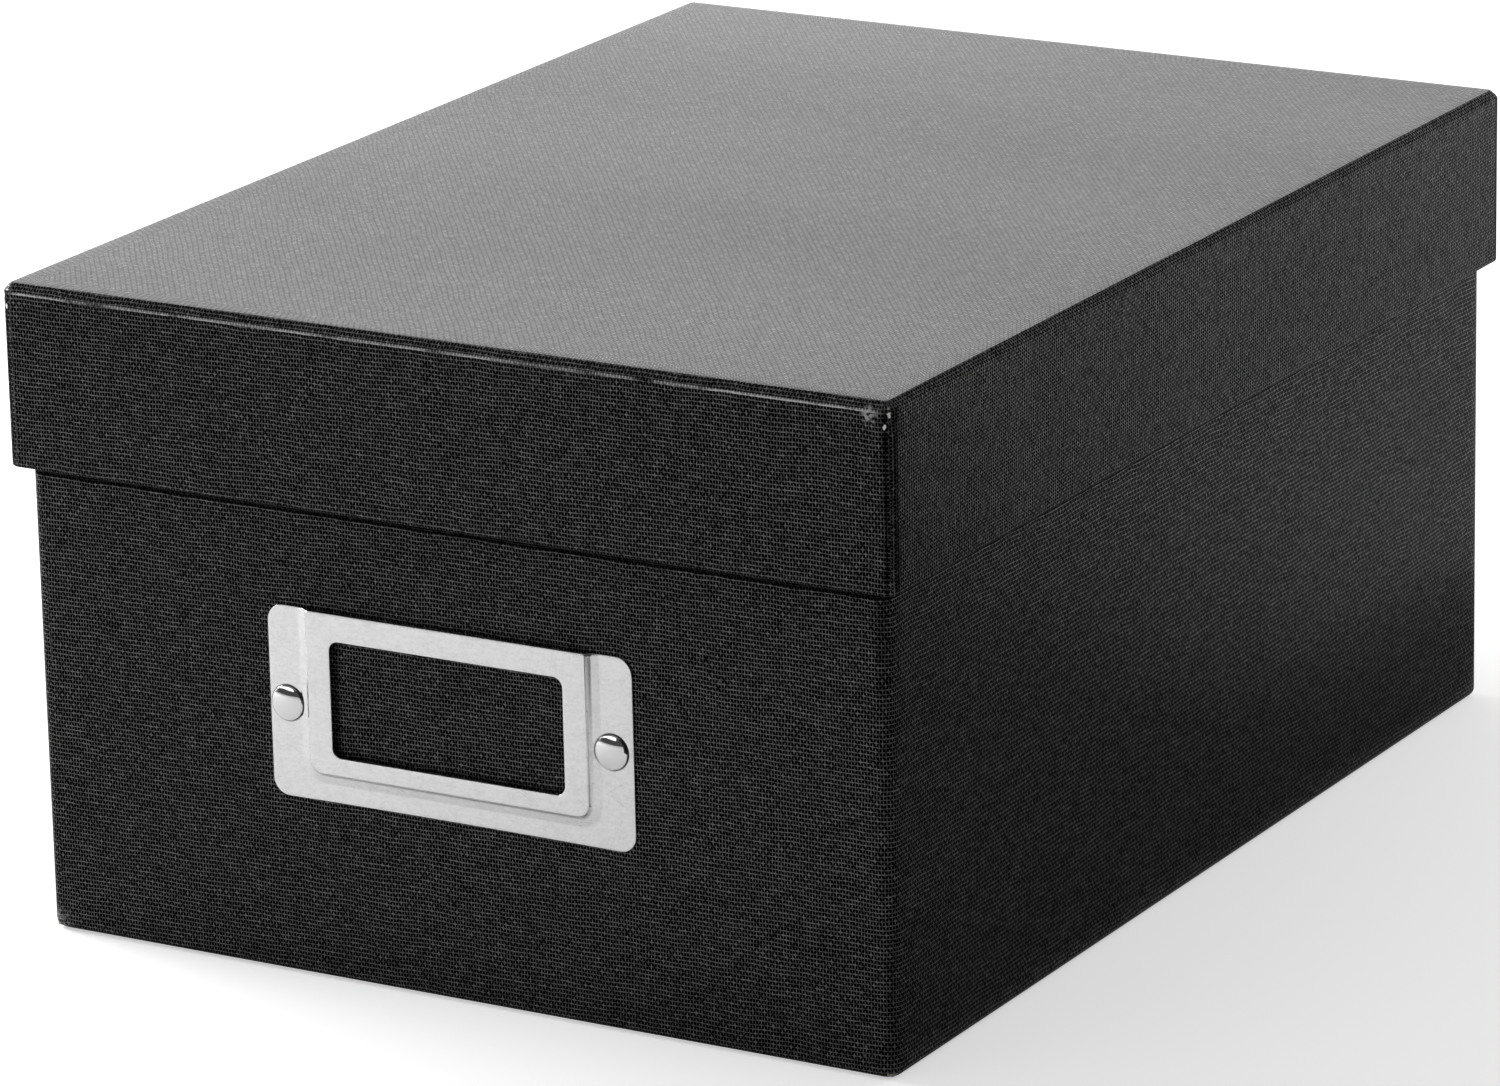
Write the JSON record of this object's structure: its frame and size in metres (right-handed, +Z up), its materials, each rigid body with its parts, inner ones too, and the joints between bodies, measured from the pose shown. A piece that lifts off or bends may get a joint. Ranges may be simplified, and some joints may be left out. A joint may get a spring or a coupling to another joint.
{
  "type": "photo storage box",
  "caption": "Rigid card box for photo prints with a lift-off lid, wrapped in black linen-look paper, with a metal label holder held by brads on the front.",
  "frame": {"origin": "on the surface the box stands on, under the middle of its base", "axes": "+Z up, +Y from the label holder's face to the back, +X to the right of someone facing the label holder"},
  "size_m": [0.197, 0.266, 0.133],
  "materials": {
    "greyboard": "matte",
    "stay_tape": "matte",
    "covering_paper": "matte",
    "lining_paper": "matte",
    "satin_steel": "satin",
    "bright_nickel": "polished"
  },
  "bodies": {
    "base": {"base_board": "greyboard", "base_stay_front_left": "stay_tape", "base_stay_front_right": "stay_tape", "base_stay_back_left": "stay_tape", "base_stay_back_right": "stay_tape", "base_wrap": "covering_paper", "base_liner": "lining_paper", "foot_sheet": "lining_paper", "label_holder": "satin_steel", "left_brad": "bright_nickel", "right_brad": "bright_nickel"},
    "lid": {"lid_board": "greyboard", "lid_stay_front_left": "stay_tape", "lid_stay_front_right": "stay_tape", "lid_stay_back_left": "stay_tape", "lid_stay_back_right": "stay_tape", "lid_wrap": "covering_paper", "lid_liner": "lining_paper"}
  },
  "joints": [
    {"name": "lid_lift", "type": "slide", "parent": "base", "child": "lid", "axis": [0, 0, 1], "range_m": [0, 0.18]}
  ]
}
